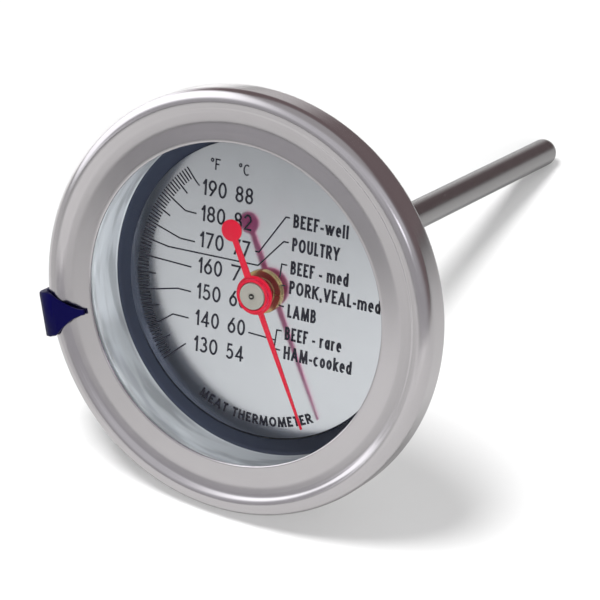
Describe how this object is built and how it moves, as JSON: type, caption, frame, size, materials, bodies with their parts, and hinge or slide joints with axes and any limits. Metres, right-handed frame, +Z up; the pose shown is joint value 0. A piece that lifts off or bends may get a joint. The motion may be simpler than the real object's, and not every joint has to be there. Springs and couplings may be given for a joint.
{
  "type": "dial meat thermometer",
  "caption": "Round dial meat thermometer: rolled steel bezel, glass over a recessed dial, red needle, sliding target marker on the rim and a long round-ended probe stem.",
  "frame": {"origin": "middle of the underside of the bounding box, on the surface that the thermometer lies on", "axes": "+Z up; +Y horizontal from the dial towards the tip of the stem; +X to the right for a reader facing the dial. The stem's own axis leans 15.157 degrees below +Y, so that the rear edge of the rim and the tip of the stem both touch the surface"},
  "size_m": [0.0712, 0.1314, 0.0684],
  "materials": {
    "bezel_steel": "satin stainless steel, fine turned grain round the ring",
    "case_steel": "bright polished stainless steel",
    "stem_steel": "satin drawn stainless steel",
    "dial_metal": "pale satin brushed metal with near-black print",
    "brass": "plain turned brass",
    "washer_grey": "dull olive grey plated steel",
    "hub_steel": "plain turned steel",
    "bimetal": "rolled bimetal strip",
    "red_paint": "semi-gloss red paint",
    "navy_plastic": "very dark navy moulded plastic",
    "seal_rubber": "dark silicone rubber",
    "lens_glass": "clear flat tempered glass"
  },
  "bodies": {
    "case": {"bezel_ring": "bezel_steel", "case_cup": "case_steel", "lens_gasket": "seal_rubber", "lens_glass": "lens_glass", "dial_plate": "dial_metal", "hub_washer": "washer_grey", "hub_nut": "brass", "stem_bush": "stem_steel", "bush_seal": "seal_rubber", "upper_bearing": "brass", "stem_tube": "stem_steel", "stem_tip_plug": "stem_steel", "shaft_guide": "brass", "coil_anchor": "brass", "bimetal_coil": "bimetal"},
    "needle": {"pointer": "red_paint", "pointer_hub": "hub_steel", "shaft": "hub_steel", "coil_driver": "brass"},
    "marker": {"target_marker": "navy_plastic"}
  },
  "joints": [
    {"name": "needle_turn", "type": "hinge", "parent": "case", "child": "needle", "pos_m": [0.0006, -0.04942, 0.03309], "axis": [0, 0.9652, -0.2615], "range_deg": [-60, 180]},
    {"name": "marker_slide", "type": "hinge", "parent": "case", "child": "marker", "pos_m": [0.0006, -0.0555, 0.03474], "axis": [0, 0.9652, -0.2615], "continuous": true}
  ]
}
